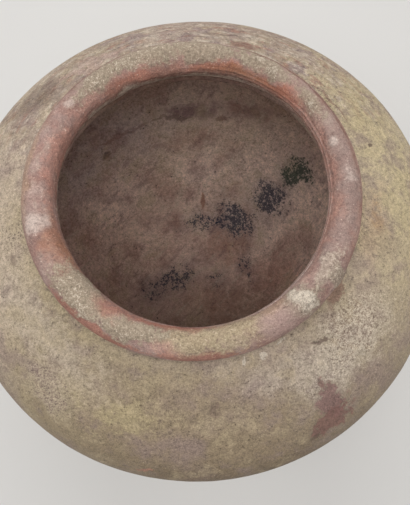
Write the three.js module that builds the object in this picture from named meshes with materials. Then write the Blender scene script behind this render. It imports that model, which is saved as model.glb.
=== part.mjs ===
// Wide-mouthed jar of glazed terracotta, thrown and fired as one hollow piece:
// a flat base, a tapering lower wall, a low round shoulder and a thick rolled lip.
// Millimetres, +Z up, origin at the centre of the flat underside.
import * as THREE from "three";

// Overall sizes
const HEIGHT = 200;
const BODY_DIAMETER = 259;
const BASE_DIAMETER = 132;

// Lip: a roll of oval section standing on the shoulder
const LIP_DIAMETER = 152;
const THROAT_DIAMETER = 123;
const LIP_HEIGHT = 16.4;

// Shoulder: a quarter of an ellipse centred inside the jar at the widest level
const WIDEST_LEVEL = 138.5;
const SHOULDER_CENTRE = 17;
const SHOULDER_RISE = 49;
const NECK_DIAMETER = 142;
const NECK_GROOVE = 0.9;

// Lower wall: upright at the widest level, then drawn in towards the base
const WALL_ROUNDING = 31;
const FLANK_RADIUS = 105;
const FLANK_LEVEL = 45;
const FOOT_EDGE = 3;

// Thicknesses and the dished inside of the floor
const WALL = 8;
const FLOOR = 9;
const INNER_FLOOR_DIAMETER = 112;

// Unevenness of the hand-thrown lip
const LIP_DRIFT = 0.5;
const LIP_DRIFT_AT = THREE.MathUtils.degToRad(144);
const LIP_OVAL = 0.4;
const THROAT_DRIFT = 0.5;
const THROAT_DRIFT_AT = THREE.MathUtils.degToRad(20);
const THROAT_TREFOIL = 0.6;
const THROAT_TREFOIL_AT = THREE.MathUtils.degToRad(34);
const LIP_BLEND = 14;

const SEGMENTS = 92;
const DEGREE = Math.PI / 180;

const bodyR = BODY_DIAMETER / 2;
const baseR = BASE_DIAMETER / 2;
const lipR = LIP_DIAMETER / 2;
const throatR = THROAT_DIAMETER / 2;
const neckR = NECK_DIAMETER / 2;
const rollMid = (lipR + throatR) / 2;
const rollHalf = (lipR - throatR) / 2;
const rollLevel = HEIGHT - LIP_HEIGHT / 2;

/** Points of an elliptical arc in the radius and height plane, angles in degrees. */
function arc(centreR, centreZ, semiR, semiZ, from, to, steps) {
  const clockwise = to < from;
  const curve = new THREE.EllipseCurve(
    centreR, centreZ, semiR, semiZ, from * DEGREE, to * DEGREE, clockwise,
  );
  return curve.getPoints(steps);
}

/** Points of a plain bend from one point to another, pulled towards a third. */
function bend(start, pull, end, steps) {
  const curve = new THREE.QuadraticBezierCurve(
    new THREE.Vector2(...start), new THREE.Vector2(...pull), new THREE.Vector2(...end),
  );
  return curve.getPoints(steps);
}

/** Points of the lower wall from a foot point up to the upright wall at the widest level. */
function lowerWall(foot, flank, topR, steps) {
  const curve = new THREE.CubicBezierCurve(
    new THREE.Vector2(...foot),
    new THREE.Vector2(...flank),
    new THREE.Vector2(topR, WIDEST_LEVEL - WALL_ROUNDING),
    new THREE.Vector2(topR, WIDEST_LEVEL),
  );
  return curve.getPoints(steps);
}

/** Ellipse angle, in degrees, at which the shoulder of a given span reaches a radius. */
function shoulderAngle(radius, span) {
  return Math.acos((radius - SHOULDER_CENTRE) / span) / DEGREE;
}

/** Outside of the jar, from the middle of the underside up to the top of the lip. */
function outsidePoints() {
  const span = bodyR - SHOULDER_CENTRE;
  const shoulderEnd = shoulderAngle(neckR, span);
  const foot = bend([baseR - FOOT_EDGE, 0], [baseR, 0], [baseR + FOOT_EDGE, FOOT_EDGE], 3);
  const wall = lowerWall([baseR + FOOT_EDGE, FOOT_EDGE], [FLANK_RADIUS, FLANK_LEVEL], bodyR, 9);
  const shoulder = arc(
    SHOULDER_CENTRE, WIDEST_LEVEL, span, SHOULDER_RISE, 0, shoulderEnd, 9,
  );
  const neckTop = rollLevel - LIP_HEIGHT / 2 + 0.4;
  const neckFoot = shoulder[shoulder.length - 1].y;
  const groove = new THREE.Vector2(neckR - NECK_GROOVE, (neckTop + neckFoot) / 2);
  const roll = arc(rollMid, rollLevel, rollHalf, LIP_HEIGHT / 2, -72, 90, 6);
  return [new THREE.Vector2(0, 0), ...foot, ...wall.slice(1), ...shoulder.slice(1), groove, ...roll];
}

/** Inside of the jar, from the top of the lip down to the middle of the floor. */
function insidePoints() {
  const span = bodyR - WALL - SHOULDER_CENTRE;
  const rise = SHOULDER_RISE - WALL;
  const roll = arc(rollMid, rollLevel, rollHalf, LIP_HEIGHT / 2, 90, 232, 6);
  const rollEnd = roll[roll.length - 1];
  const ceilingStart = shoulderAngle(lipR, span);
  const ceiling = arc(SHOULDER_CENTRE, WIDEST_LEVEL, span, rise, ceilingStart, 0, 6);
  const throat = bend(
    [rollEnd.x, rollEnd.y], [neckR - 5, ceiling[0].y + 1], [ceiling[0].x, ceiling[0].y], 3,
  );
  const innerR = bodyR - WALL;
  const floorR = INNER_FLOOR_DIAMETER / 2;
  const wall = lowerWall(
    [floorR, FLOOR + 2], [FLANK_RADIUS - WALL, FLANK_LEVEL], innerR, 7,
  ).reverse();
  const floor = bend([floorR, FLOOR + 2], [floorR * 0.7, FLOOR], [0, FLOOR], 2);
  return [
    ...roll.slice(1), ...throat.slice(1), ...ceiling.slice(1), ...wall.slice(1), ...floor.slice(1),
  ];
}

/** Outward push of the lip's outer face at an azimuth. */
function lipPush(azimuth) {
  const turn = azimuth - LIP_DRIFT_AT;
  return LIP_DRIFT * Math.cos(turn) + LIP_OVAL * Math.cos(2 * turn);
}

/** Outward push of the throat's face at an azimuth. */
function throatPush(azimuth) {
  const drift = THROAT_DRIFT * Math.cos(azimuth - THROAT_DRIFT_AT);
  return drift + THROAT_TREFOIL * Math.cos(3 * (azimuth - THROAT_TREFOIL_AT));
}

/** Moves the lip's points in and out so that it is no longer a perfect ring. */
function unevenLip(geometry) {
  const points = geometry.getAttribute("position");
  const lipFoot = HEIGHT - LIP_HEIGHT;
  for (let i = 0; i < points.count; i += 1) {
    const x = points.getX(i);
    const y = points.getY(i);
    const share = THREE.MathUtils.smoothstep(points.getZ(i), lipFoot - LIP_BLEND, lipFoot);
    const radius = Math.hypot(x, y);
    if (share > 0 && radius > 0) {
      const outward = THREE.MathUtils.smoothstep(radius, throatR, lipR);
      const azimuth = Math.atan2(y, x);
      const push = THREE.MathUtils.lerp(throatPush(azimuth), lipPush(azimuth), outward);
      const factor = 1 + (share * push) / radius;
      points.setXY(i, x * factor, y * factor);
    }
  }
  return geometry;
}

const profile = [...outsidePoints(), ...insidePoints()];
const turned = new THREE.LatheGeometry(profile, SEGMENTS);
turned.rotateX(Math.PI / 2);
const vaseGeometry = unevenLip(turned);
vaseGeometry.computeVertexNormals();

const vase = new THREE.Mesh(
  vaseGeometry,
  new THREE.MeshStandardMaterial({ color: 0xa5967a, roughness: 0.7, metalness: 0 }),
);
vase.name = "vase";

const jar = new THREE.Group();
jar.name = "glazed_terracotta_vase";
jar.add(vase);

export default jar;
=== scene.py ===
"""Worn glazed terracotta jar: a turned, hand-uneven vessel with its glaze, bare clay, crusts and stains."""

import logging
import math
from collections.abc import Callable
from dataclasses import dataclass, field
from enum import Enum
from typing import ClassVar

import bpy
import numpy as np
from mathutils import Matrix, Vector


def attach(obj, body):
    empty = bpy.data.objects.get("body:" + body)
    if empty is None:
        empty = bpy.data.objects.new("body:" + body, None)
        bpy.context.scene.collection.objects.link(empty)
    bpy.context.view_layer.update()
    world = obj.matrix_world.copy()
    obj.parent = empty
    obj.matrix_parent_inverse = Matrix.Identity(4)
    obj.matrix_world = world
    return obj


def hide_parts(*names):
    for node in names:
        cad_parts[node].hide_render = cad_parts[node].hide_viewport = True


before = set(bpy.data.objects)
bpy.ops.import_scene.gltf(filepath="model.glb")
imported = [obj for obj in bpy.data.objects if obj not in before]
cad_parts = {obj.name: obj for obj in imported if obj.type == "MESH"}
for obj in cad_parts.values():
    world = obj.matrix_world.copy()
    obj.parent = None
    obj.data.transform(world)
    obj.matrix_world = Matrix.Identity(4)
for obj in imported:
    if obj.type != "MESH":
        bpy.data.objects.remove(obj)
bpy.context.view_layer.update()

LOG = logging.getLogger("jar")
MM = 0.001
ALONG = "along"

Socket = bpy.types.NodeSocket
Feed = Socket | float | tuple[float, ...]
Given = bpy.types.bpy_prop_collection


class Face(Enum):
    """Stretch of the jar's surface that a mark is placed on."""

    OUTSIDE = "outside"
    LIP = "lip"
    INSIDE = "inside"
    FLOOR = "floor"


class Hue(Enum):
    """Colours of the clay, its glaze and what lies on them, as a display shows them, with the colours of painted
    light and shade among them.
    """

    CHALK = (206, 193, 176)
    BONE = (190, 174, 157)
    BUFF = (190, 172, 152)
    STRAW = (190, 174, 134)
    OLIVE = (174, 157, 128)
    SAGE = (163, 148, 128)
    CREAM = (162, 147, 129)
    SAND = (178, 150, 126)
    # These two darken the front: partly the glaze's own tone, partly painted shade.
    DUN_AND_SHADE = (150, 132, 108)
    LOAM_AND_SHADE = (122, 105, 85)
    # Dirt, cracks and dark marks, and the painted shade under the lip.
    GRIME_AND_SHADE = (114, 96, 85)
    SOOT = (96, 78, 70)
    ASH = (174, 147, 138)
    MAUVE = (150, 130, 122)
    PLUM = (122, 95, 96)
    ROSE = (158, 120, 109)
    SALMON = (204, 155, 140)
    ORANGE = (164, 118, 94)
    BRICK = (168, 118, 102)
    OXBLOOD = (128, 95, 87)
    MULBERRY = (136, 107, 101)
    RUSSET = (178, 116, 95)
    MOSS = (134, 124, 100)
    BLUSH = (208, 189, 178)
    # Painted light on the upper far wall inside.
    PEARL_PAINTED_LIGHT = (196, 182, 180)
    RUST = (160, 121, 105)
    OCHRE = (150, 112, 76)
    UMBER = (134, 102, 89)
    TAUPE = (200, 172, 160)
    # Painted light and a painted highlight inside.
    SHELL_PAINTED_LIGHT = (236, 210, 194)
    TAN = (208, 185, 167)
    SLATE = (54, 60, 76)
    VERDIGRIS = (46, 70, 60)
    PALE_FLOOR = (216, 214, 211)


def paint(hue: Hue) -> tuple[float, float, float, float]:
    """Turns a display colour of 0 to 255 into a shader colour.

    Args:
        hue: the colour as seen on a display.

    Returns:
        Linear red, green, blue and an alpha of one.
    """
    linear = []
    for value in hue.value:
        share = value / 255.0
        linear.append(share / 12.92 if share <= 0.04045 else ((share + 0.055) / 1.055) ** 2.4)
    return (linear[0], linear[1], linear[2], 1.0)


class NodeWriter:
    """Writes nodes into one shader or geometry tree."""

    ROWS = 14

    def __init__(self, tree: bpy.types.NodeTree) -> None:
        """Keeps the tree that the nodes go into."""
        self.tree = tree

    def add(self, kind: str, **settings: object) -> bpy.types.Node:
        """Adds one node.

        Args:
            kind: the node's type.
            settings: properties to set on it.

        Returns:
            The new node.
        """
        count = len(self.tree.nodes)
        node = self.tree.nodes.new(kind)
        node.location = (240.0 * (count // self.ROWS), -190.0 * (count % self.ROWS))
        for name, value in settings.items():
            setattr(node, name, value)
        return node

    def feed(self, socket: Socket, value: Feed) -> None:
        """Links a socket to another, or sets its own value."""
        if isinstance(value, bpy.types.NodeSocket):
            self.tree.links.new(value, socket)
        else:
            socket.default_value = value

    def math(self, operation: str, *values: Feed, clamp: bool = False) -> Socket:
        """Adds a Math node.

        Args:
            operation: what it works out.
            values: its inputs in order.
            clamp: whether the result is kept between 0 and 1.

        Returns:
            The result.
        """
        node = self.add("ShaderNodeMath", operation=operation)
        if clamp:
            node.use_clamp = True
        for socket, value in zip(node.inputs, values):
            self.feed(socket, value)
        return node.outputs[0]

    def vector(self, operation: str, *values: Feed) -> Socket:
        """Adds a Vector Math node.

        Args:
            operation: what it works out.
            values: its inputs in order.

        Returns:
            The resulting vector, or the number for a length.
        """
        node = self.add("ShaderNodeVectorMath", operation=operation)
        for socket, value in zip(node.inputs, values):
            self.feed(socket, value)
        return node.outputs["Value"] if operation == "LENGTH" else node.outputs["Vector"]

    def combine(self, x: Feed, y: Feed, z: Feed) -> Socket:
        """Joins three numbers into a vector."""
        node = self.add("ShaderNodeCombineXYZ")
        for socket, value in zip(node.inputs, (x, y, z)):
            self.feed(socket, value)
        return node.outputs[0]

    def split(self, vector: Socket) -> tuple[Socket, Socket, Socket]:
        """Parts a vector into its three numbers."""
        node = self.add("ShaderNodeSeparateXYZ")
        self.feed(node.inputs[0], vector)
        return node.outputs[0], node.outputs[1], node.outputs[2]

    def ramp(self, value: Feed, low: float, high: float, start: float = 0.0, end: float = 1.0) -> Socket:
        """Fades smoothly from one number to another.

        Args:
            value: what drives the fade.
            low: where it begins.
            high: where it ends.
            start: the result up to the beginning.
            end: the result past the end.

        Returns:
            The faded number.
        """
        node = self.add("ShaderNodeMapRange", interpolation_type="SMOOTHSTEP")
        turned = low > high
        for socket, number in zip(node.inputs, (value, min(low, high), max(low, high))):
            self.feed(socket, number)
        node.inputs[3].default_value = end if turned else start
        node.inputs[4].default_value = start if turned else end
        return node.outputs[0]

    def noise(
        self, where: Socket, scale: float, detail: float = 4.0, rough: float = 0.55, seed: Feed | None = None
    ) -> Socket:
        """Adds a Noise Texture.

        Args:
            where: the coordinates it is read at.
            scale: features for each unit of them.
            detail: how many finer layers it has.
            rough: how strong those are.
            seed: the fourth coordinate, for a draw of its own.

        Returns:
            The noise, about one half on average.
        """
        node = self.add("ShaderNodeTexNoise", noise_dimensions="3D" if seed is None else "4D")
        self.feed(node.inputs["Vector"], where)
        if seed is not None:
            self.feed(node.inputs["W"], seed)
        node.inputs["Scale"].default_value = scale
        node.inputs["Detail"].default_value = detail
        node.inputs["Roughness"].default_value = rough
        return node.outputs[0]

    def blend(self, share: Feed, under: Feed, over: Feed) -> Socket:
        """Lays one colour over another.

        Args:
            share: how much of the upper one shows.
            under: the lower colour.
            over: the upper colour.

        Returns:
            The mixed colour.
        """
        node = self.add("ShaderNodeMix", data_type="RGBA")
        named = {socket.identifier: socket for socket in node.inputs}
        self.feed(named["Factor_Float"], share)
        self.feed(named["A_Color"], under)
        self.feed(named["B_Color"], over)
        return next(socket for socket in node.outputs if socket.identifier == "Result_Color")

    def group(self, name: str, values: dict[str, Feed], fill: Callable[["NodeWriter", Given], Socket]) -> Socket:
        """Adds a node group, which is made when this kind of tree first needs it.

        Args:
            name: what the group is called.
            values: its inputs by name, vectors where they hold three numbers.
            fill: writes its nodes and returns the number it gives.

        Returns:
            That number.
        """
        kind = self.tree.bl_idname
        full = f"{name}_{kind}"
        tree = bpy.data.node_groups.get(full)
        if tree is None:
            tree = bpy.data.node_groups.new(full, kind)
            for label, value in values.items():
                vector = isinstance(value, tuple) or getattr(value, "type", "") == "VECTOR"
                sort = "NodeSocketVector" if vector else "NodeSocketFloat"
                tree.interface.new_socket(label, in_out="INPUT", socket_type=sort)
            tree.interface.new_socket("Result", in_out="OUTPUT", socket_type="NodeSocketFloat")
            inner = NodeWriter(tree)
            result = fill(inner, inner.add("NodeGroupInput").outputs)
            inner.feed(inner.add("NodeGroupOutput").inputs[0], result)
        node = self.add(kind.replace("Tree", "Group"), node_tree=tree)
        for label, value in values.items():
            self.feed(node.inputs[label], value)
        return node.outputs[0]


@dataclass(frozen=True)
class JarSizes:
    """Driving sizes of the jar, in millimetres, as its solid has them."""

    height: float = 200.0
    body_radius: float = 129.5
    base_radius: float = 66.0
    lip_radius: float = 76.0
    throat_radius: float = 61.5
    lip_height: float = 16.4
    widest_level: float = 138.5
    shoulder_centre: float = 17.0
    shoulder_rise: float = 49.0
    neck_radius: float = 71.0
    neck_groove: float = 0.9
    wall_rounding: float = 31.0
    flank_radius: float = 105.0
    flank_level: float = 45.0
    foot_edge: float = 3.0
    wall: float = 8.0
    floor: float = 9.0
    inner_floor_radius: float = 56.0

    @property
    def roll_middle(self) -> float:
        """Radius of the middle of the lip's roll."""
        return (self.lip_radius + self.throat_radius) / 2

    @property
    def roll_half(self) -> float:
        """Half the roll's thickness."""
        return (self.lip_radius - self.throat_radius) / 2

    @property
    def roll_level(self) -> float:
        """Height of the middle of the lip's roll."""
        return self.height - self.lip_height / 2


@dataclass(frozen=True)
class RowCounts:
    """Rows of the turned mesh on each stretch of the profile, closest where the jar is seen best."""

    underside: int = 5
    foot: int = 5
    wall: int = 26
    shoulder: int = 48
    roll_out: int = 24
    roll_in: int = 34
    throat: int = 7
    ceiling: int = 10
    inner_wall: int = 22
    floor: int = 9


class JarProfile:
    """Line the jar is turned from, from the middle of the underside over the lip to the middle of the floor."""

    ROLL_START = -72.0
    ROLL_END = 232.0

    def __init__(self, sizes: JarSizes, rows: RowCounts) -> None:
        """Draws the line.

        Args:
            sizes: the jar's sizes.
            rows: how many rows each stretch has.
        """
        self.sizes = sizes
        stretches = self._stretches(rows)
        self.points = np.concatenate(list(stretches.values())) * MM
        steps = np.hypot(*np.diff(self.points, axis=0).T)
        self.along = np.concatenate([[0.0], np.cumsum(steps)])
        self.start: dict[str, int] = {}
        count = 0
        for name, stretch in stretches.items():
            self.start[name] = count
            count += len(stretch)

    @staticmethod
    def _arc(centre: tuple[float, float], semi: tuple[float, float], ends: tuple[float, float], steps: int) -> np.ndarray:
        """Points of an elliptical arc, both ends included, with its ends in degrees."""
        angle = np.radians(np.linspace(ends[0], ends[1], steps + 1))
        return np.stack([centre[0] + semi[0] * np.cos(angle), centre[1] + semi[1] * np.sin(angle)], axis=1)

    @staticmethod
    def _bend(corners: list[tuple[float, float]], steps: int) -> np.ndarray:
        """Points of a Bezier curve through its first and last corner, both ends included."""
        share = np.linspace(0.0, 1.0, steps + 1)[:, None]
        order = len(corners) - 1
        total = np.zeros((steps + 1, 2))
        for index, corner in enumerate(corners):
            weight = math.comb(order, index) * share**index * (1 - share) ** (order - index)
            total += weight * np.array(corner)
        return total

    def _stretches(self, rows: RowCounts) -> dict[str, np.ndarray]:
        """Makes each stretch of the line.

        Args:
            rows: how many rows each stretch has.

        Returns:
            The stretches by name, in order, with no point twice.
        """
        s = self.sizes
        foot_end = (s.base_radius + s.foot_edge, s.foot_edge)
        upright = s.widest_level - s.wall_rounding
        underside = np.stack([np.linspace(0, s.base_radius - s.foot_edge, rows.underside + 1), np.zeros(rows.underside + 1)], 1)
        foot = self._bend([(s.base_radius - s.foot_edge, 0), (s.base_radius, 0), foot_end], rows.foot)
        flank = (s.flank_radius, s.flank_level)
        wall = self._bend([foot_end, flank, (s.body_radius, upright), (s.body_radius, s.widest_level)], rows.wall)
        span = s.body_radius - s.shoulder_centre
        centre = (s.shoulder_centre, s.widest_level)
        shoulder_end = math.degrees(math.acos((s.neck_radius - s.shoulder_centre) / span))
        shoulder = self._arc(centre, (span, s.shoulder_rise), (0, shoulder_end), rows.shoulder)
        roll_centre = (s.roll_middle, s.roll_level)
        roll_semi = (s.roll_half, s.lip_height / 2)
        roll_out = self._arc(roll_centre, roll_semi, (self.ROLL_START, 90), rows.roll_out)
        groove_level = (s.height - s.lip_height + 0.4 + shoulder[-1][1]) / 2
        groove = np.array([[s.neck_radius - s.neck_groove, groove_level]])
        roll_in = self._arc(roll_centre, roll_semi, (90, self.ROLL_END), rows.roll_in)
        inner_span = span - s.wall
        ceiling_start = math.degrees(math.acos((s.lip_radius - s.shoulder_centre) / inner_span))
        ceiling = self._arc(centre, (inner_span, s.shoulder_rise - s.wall), (ceiling_start, 0), rows.ceiling)
        pull = (s.neck_radius - 5, ceiling[0][1] + 1)
        throat = self._bend([tuple(roll_in[-1]), pull, tuple(ceiling[0])], rows.throat)
        inner_radius = s.body_radius - s.wall
        floor_edge = (s.inner_floor_radius, s.floor + 2)
        inner_flank = (s.flank_radius - s.wall, s.flank_level)
        inner_wall = self._bend(
            [(inner_radius, s.widest_level), (inner_radius, upright), inner_flank, floor_edge], rows.inner_wall
        )
        floor = self._bend([floor_edge, (s.inner_floor_radius * 0.7, s.floor), (0, s.floor)], rows.floor)
        return {
            "underside": underside,
            "foot": foot[1:],
            "wall": wall[1:],
            "shoulder": shoulder[1:],
            "groove": groove,
            "roll_out": roll_out,
            "roll_in": roll_in[1:],
            "throat": throat[1:],
            "ceiling": ceiling[1:],
            "inner_wall": inner_wall[1:],
            "floor": floor[1:],
        }

    def begin(self, stretch: str) -> float:
        """Distance along the line, in metres, at which a stretch begins."""
        return float(self.along[self.start[stretch]])

    def locate(self, face: Face, level: float) -> tuple[float, float]:
        """Finds a place on the line.

        Args:
            face: the side of the jar.
            level: height in millimetres, or on the lip the angle round its roll in degrees, 0 outermost.

        Returns:
            The distance along the line and the radius there, in metres.
        """
        if face is Face.LIP:
            first, last = self.start["roll_out"], self.start["throat"]
            angles = np.linspace(self.ROLL_START, self.ROLL_END, last - first)
            split = self.start["roll_in"] - first
            angles[:split] = np.linspace(self.ROLL_START, 90, split)
            angles[split - 1 :] = np.linspace(90, self.ROLL_END, last - first - split + 1)
            keys, span = angles, slice(first, last)
        elif face is Face.OUTSIDE:
            span = slice(self.start["wall"], self.start["groove"])
            keys = self.points[span, 1] / MM
        else:
            span = slice(self.start["ceiling"], self.start["floor"])
            keys = self.points[span, 1] / MM
        order = np.argsort(keys)
        along = np.interp(level, keys[order], self.along[span][order])
        radius = np.interp(level, keys[order], self.points[span, 0][order])
        return float(along), float(radius)


@dataclass
class SurfaceFields:
    """Numbers that every mark reads off the jar's surface, in a shader or in a geometry tree.

    The wall gives azimuth and distance along the profile, the plan the place seen from above with the height
    as a third number that keeps marks of the floor off the throat. The drift carries an edge's wandering and
    the noise that breaks it.
    """

    writer: NodeWriter
    place: Socket
    along: Socket
    azimuth: Socket = field(init=False)
    wall: Socket = field(init=False)
    plan: Socket = field(init=False)
    drift: Socket = field(init=False)
    ragged: Socket = field(init=False)
    grit: Socket = field(init=False)
    grain: Socket = field(init=False)
    fleck: Socket = field(init=False)
    cloud: Socket = field(init=False)
    turned: Socket = field(init=False)
    broken: Socket = field(init=False)
    specks: Socket = field(init=False)
    crumbs: Socket = field(init=False)
    ridges: Socket = field(init=False)

    PLAN_LIFT: ClassVar[float] = 12.0
    RIDGE_PITCH: ClassVar[float] = 0.0022
    RIDGE_WANDER: ClassVar[float] = 14.0

    def __post_init__(self) -> None:
        """Adds the azimuth and the noises that the marks share."""
        write = self.writer
        x, y, _ = write.split(self.place)
        self.azimuth = write.math("ARCTAN2", y, x)
        self.ragged = write.noise(self.place, 75.0, 7.0, 0.62)
        self.wall = write.combine(self.azimuth, self.along, 0.0)
        self.plan = write.vector("MULTIPLY", self.place, (1.0, 1.0, self.PLAN_LIFT))
        self.grit = write.noise(self.place, 1700.0, 3.0, 0.7)
        self.grain = write.noise(self.place, 760.0, 4.0, 0.75)
        self.fleck = write.noise(self.place, 300.0, 4.0, 0.65)
        self.cloud = write.noise(self.place, 26.0, 5.0, 0.55)
        ring = write.vector("NORMALIZE", write.vector("MULTIPLY", self.place, (1.0, 1.0, 0.0)))
        lane = write.combine(0.0, 0.0, write.math("MULTIPLY", self.along, 330.0))
        self.turned = write.noise(write.vector("MULTIPLY_ADD", ring, (11.0, 11.0, 0.0), lane), 1.0, 5.0, 0.6)
        self.broken = write.math("MULTIPLY_ADD", self.fleck, 0.65, write.math("MULTIPLY", self.grain, 0.35))
        stray = write.vector("SUBTRACT", self.ragged.node.outputs["Color"], (0.5, 0.5, 0.5))
        red, green, _ = write.split(stray)
        self.drift = write.combine(red, green, self.broken)
        self.specks = write.math("MULTIPLY_ADD", self.grit, 0.5, write.math("MULTIPLY", self.grain, 0.5))
        self.crumbs = write.math("MULTIPLY_ADD", self.fleck, 0.5, write.math("MULTIPLY", self.grain, 0.5))
        wander = write.math("MULTIPLY", self.cloud, self.RIDGE_WANDER)
        wave = write.math("MULTIPLY_ADD", self.along, 2 * math.pi / self.RIDGE_PITCH, wander)
        self.ridges = write.math("MULTIPLY", write.math("SINE", wave), write.ramp(x, -0.01, 0.035, 0.3, 1.0))


@dataclass(frozen=True)
class Patch:
    """Marked place on the surface: an oval whose edge wanders with the noises.

    Azimuths are degrees from +X towards +Y, levels as in JarProfile.locate or a radius on the floor,
    and half sizes and the wandering are millimetres round the jar and along its profile.
    """

    face: Face
    azimuth: float
    level: float
    width: float
    height: float
    tilt: float = 0.0
    ragged: float = 16.0
    speckle: float = 1.8
    soft: float = 0.22

    def mask(self, fields: SurfaceFields, profile: JarProfile, strength: float = 1.0) -> Socket:
        """Adds the nodes that tell how far inside the patch a point lies.

        Args:
            fields: what the surface offers.
            profile: the jar's line.
            strength: the number in the patch's middle.

        Returns:
            The strength inside, fading to 0 outside.
        """
        on_floor = self.face is Face.FLOOR
        middle = math.radians(self.azimuth)
        if on_floor:
            radius = self.level * MM
            start = (radius * math.cos(middle), radius * math.sin(middle), 0.0)
        else:
            along, radius = profile.locate(self.face, self.level)
            start = (middle * radius, along, 0.0)
        edge = 1.0 + self.speckle / 2
        values: dict[str, Feed] = {
            "Where": fields.plan if on_floor else fields.wall,
            "Drift": fields.drift,
            "Middle": middle,
            "Radius": radius,
            "Start": start,
            "Stray": (self.ragged * MM, self.ragged * MM, 0.0),
            "Turn": -math.radians(self.tilt),
            "Half size": (self.width * MM, self.height * MM, 1.0),
            "Speckle": self.speckle,
            "Inner edge": edge - self.soft,
            "Outer edge": edge + self.soft,
            "Strength": strength,
        }
        name = ("floor" if on_floor else "wall") + ("_tilted_patch" if self.tilt else "_patch")
        return fields.writer.group(name, values, self._recipe)

    def _recipe(self, write: NodeWriter, given: Given) -> Socket:
        """Writes the nodes that patches of one kind share.

        Args:
            write: the group's writer.
            given: the group's inputs.

        Returns:
            The strength inside a patch, fading to 0 outside.
        """
        spot = given["Where"]
        if self.face is not Face.FLOOR:
            azimuth, along, _ = write.split(spot)
            high = write.math("ADD", given["Middle"], math.pi)
            low = write.math("SUBTRACT", given["Middle"], math.pi)
            across = write.math("MULTIPLY", write.math("WRAP", azimuth, high, low), given["Radius"])
            spot = write.combine(across, along, 0.0)
        offset = write.vector("SUBTRACT", spot, given["Start"])
        offset = write.vector("MULTIPLY_ADD", given["Drift"], given["Stray"], offset)
        if self.tilt:
            turn = write.add("ShaderNodeVectorRotate", rotation_type="Z_AXIS")
            write.feed(turn.inputs["Vector"], offset)
            write.feed(turn.inputs["Angle"], given["Turn"])
            offset = turn.outputs[0]
        reach = write.vector("LENGTH", write.vector("DIVIDE", offset, given["Half size"]))
        _, _, broken = write.split(given["Drift"])
        reach = write.math("MULTIPLY_ADD", broken, given["Speckle"], reach)
        fade = write.add("ShaderNodeMapRange", interpolation_type="SMOOTHSTEP")
        ends = (reach, given["Inner edge"], given["Outer edge"], given["Strength"], 0.0)
        for socket, value in zip(fade.inputs, ends):
            write.feed(socket, value)
        return fade.outputs[0]


@dataclass(frozen=True)
class Mark:
    """Coloured mark: a stain, a worn place, a crust, a tint, a patch of painted light, a band of painted shade."""

    patch: Patch
    hue: Hue
    strength: float = 1.0
    height: float = 0.0


@dataclass(frozen=True)
class Grains:
    """How a mark is broken into grains.

    The gain is how strongly the noise breaks it, below zero for grains in its hollows, the cover how much
    of a grain's colour shows, and the smudge how much of it lies evenly between them.
    """

    gain: float
    cover: float
    smudge: float = 0.0
    coarse: bool = False


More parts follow.
